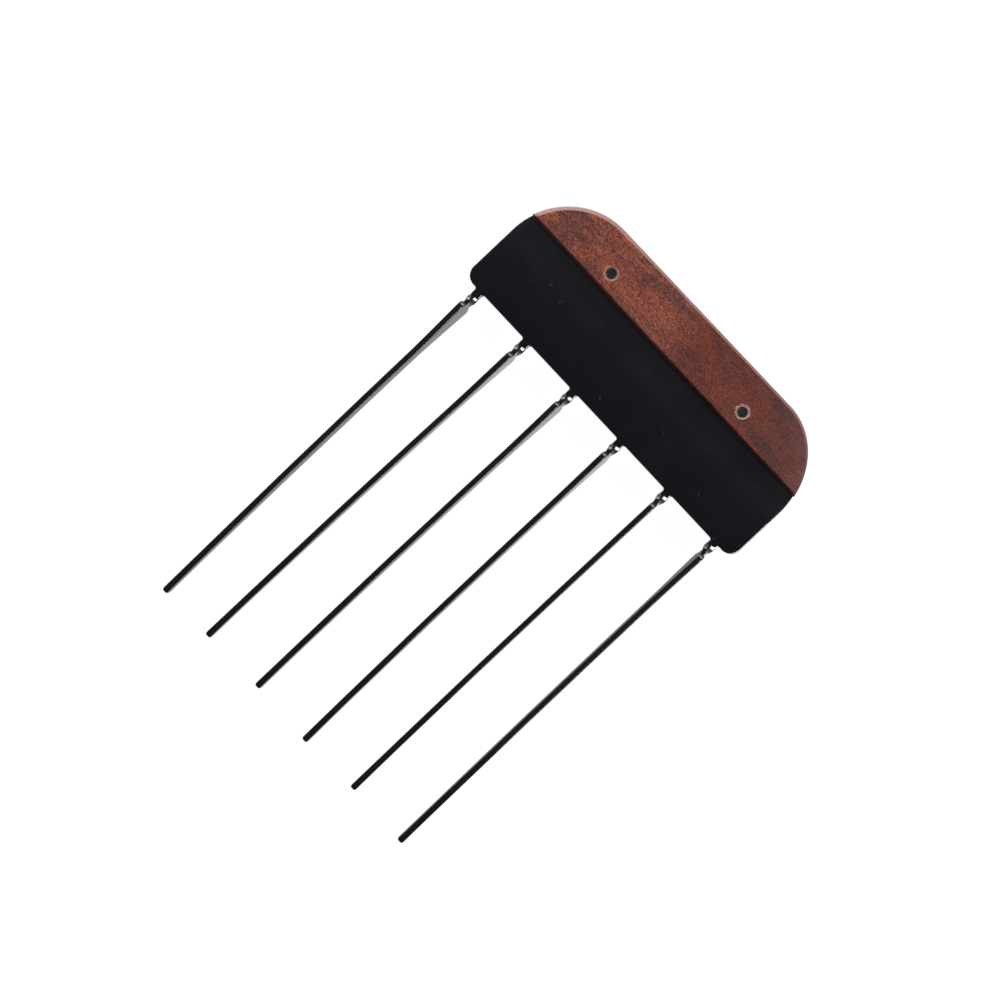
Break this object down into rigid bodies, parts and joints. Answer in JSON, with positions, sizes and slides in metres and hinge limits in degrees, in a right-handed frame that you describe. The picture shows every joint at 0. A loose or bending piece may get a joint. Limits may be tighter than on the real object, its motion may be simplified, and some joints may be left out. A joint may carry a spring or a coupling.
{
  "type": "metal comb",
  "caption": "Wide-tooth comb of dark coated sheet steel with long twisted teeth standing edge-on and a pinned wooden grip along its back.",
  "frame": {"origin": "below the middle of the comb, at the level of the back scale's flat face", "axes": "+Z out of the comb's front, +Y from the teeth towards the wooden back, +X along the row of teeth"},
  "size_m": [0.1, 0.1492, 0.0091],
  "materials": {
    "coated_steel": "smooth black coating with a soft sheen",
    "wood_front": "fine-grained red-brown wood, oiled, satin",
    "wood_back": "fine-grained red-brown wood, oiled, satin",
    "pin_left_steel": "dark blued steel, flat end",
    "pin_right_steel": "dark blued steel, flat end"
  },
  "bodies": {
    "root": {"blade": "coated_steel", "scale_front": "wood_front", "scale_back": "wood_back", "pin_left": "pin_left_steel", "pin_right": "pin_right_steel"}
  },
  "joints": []
}
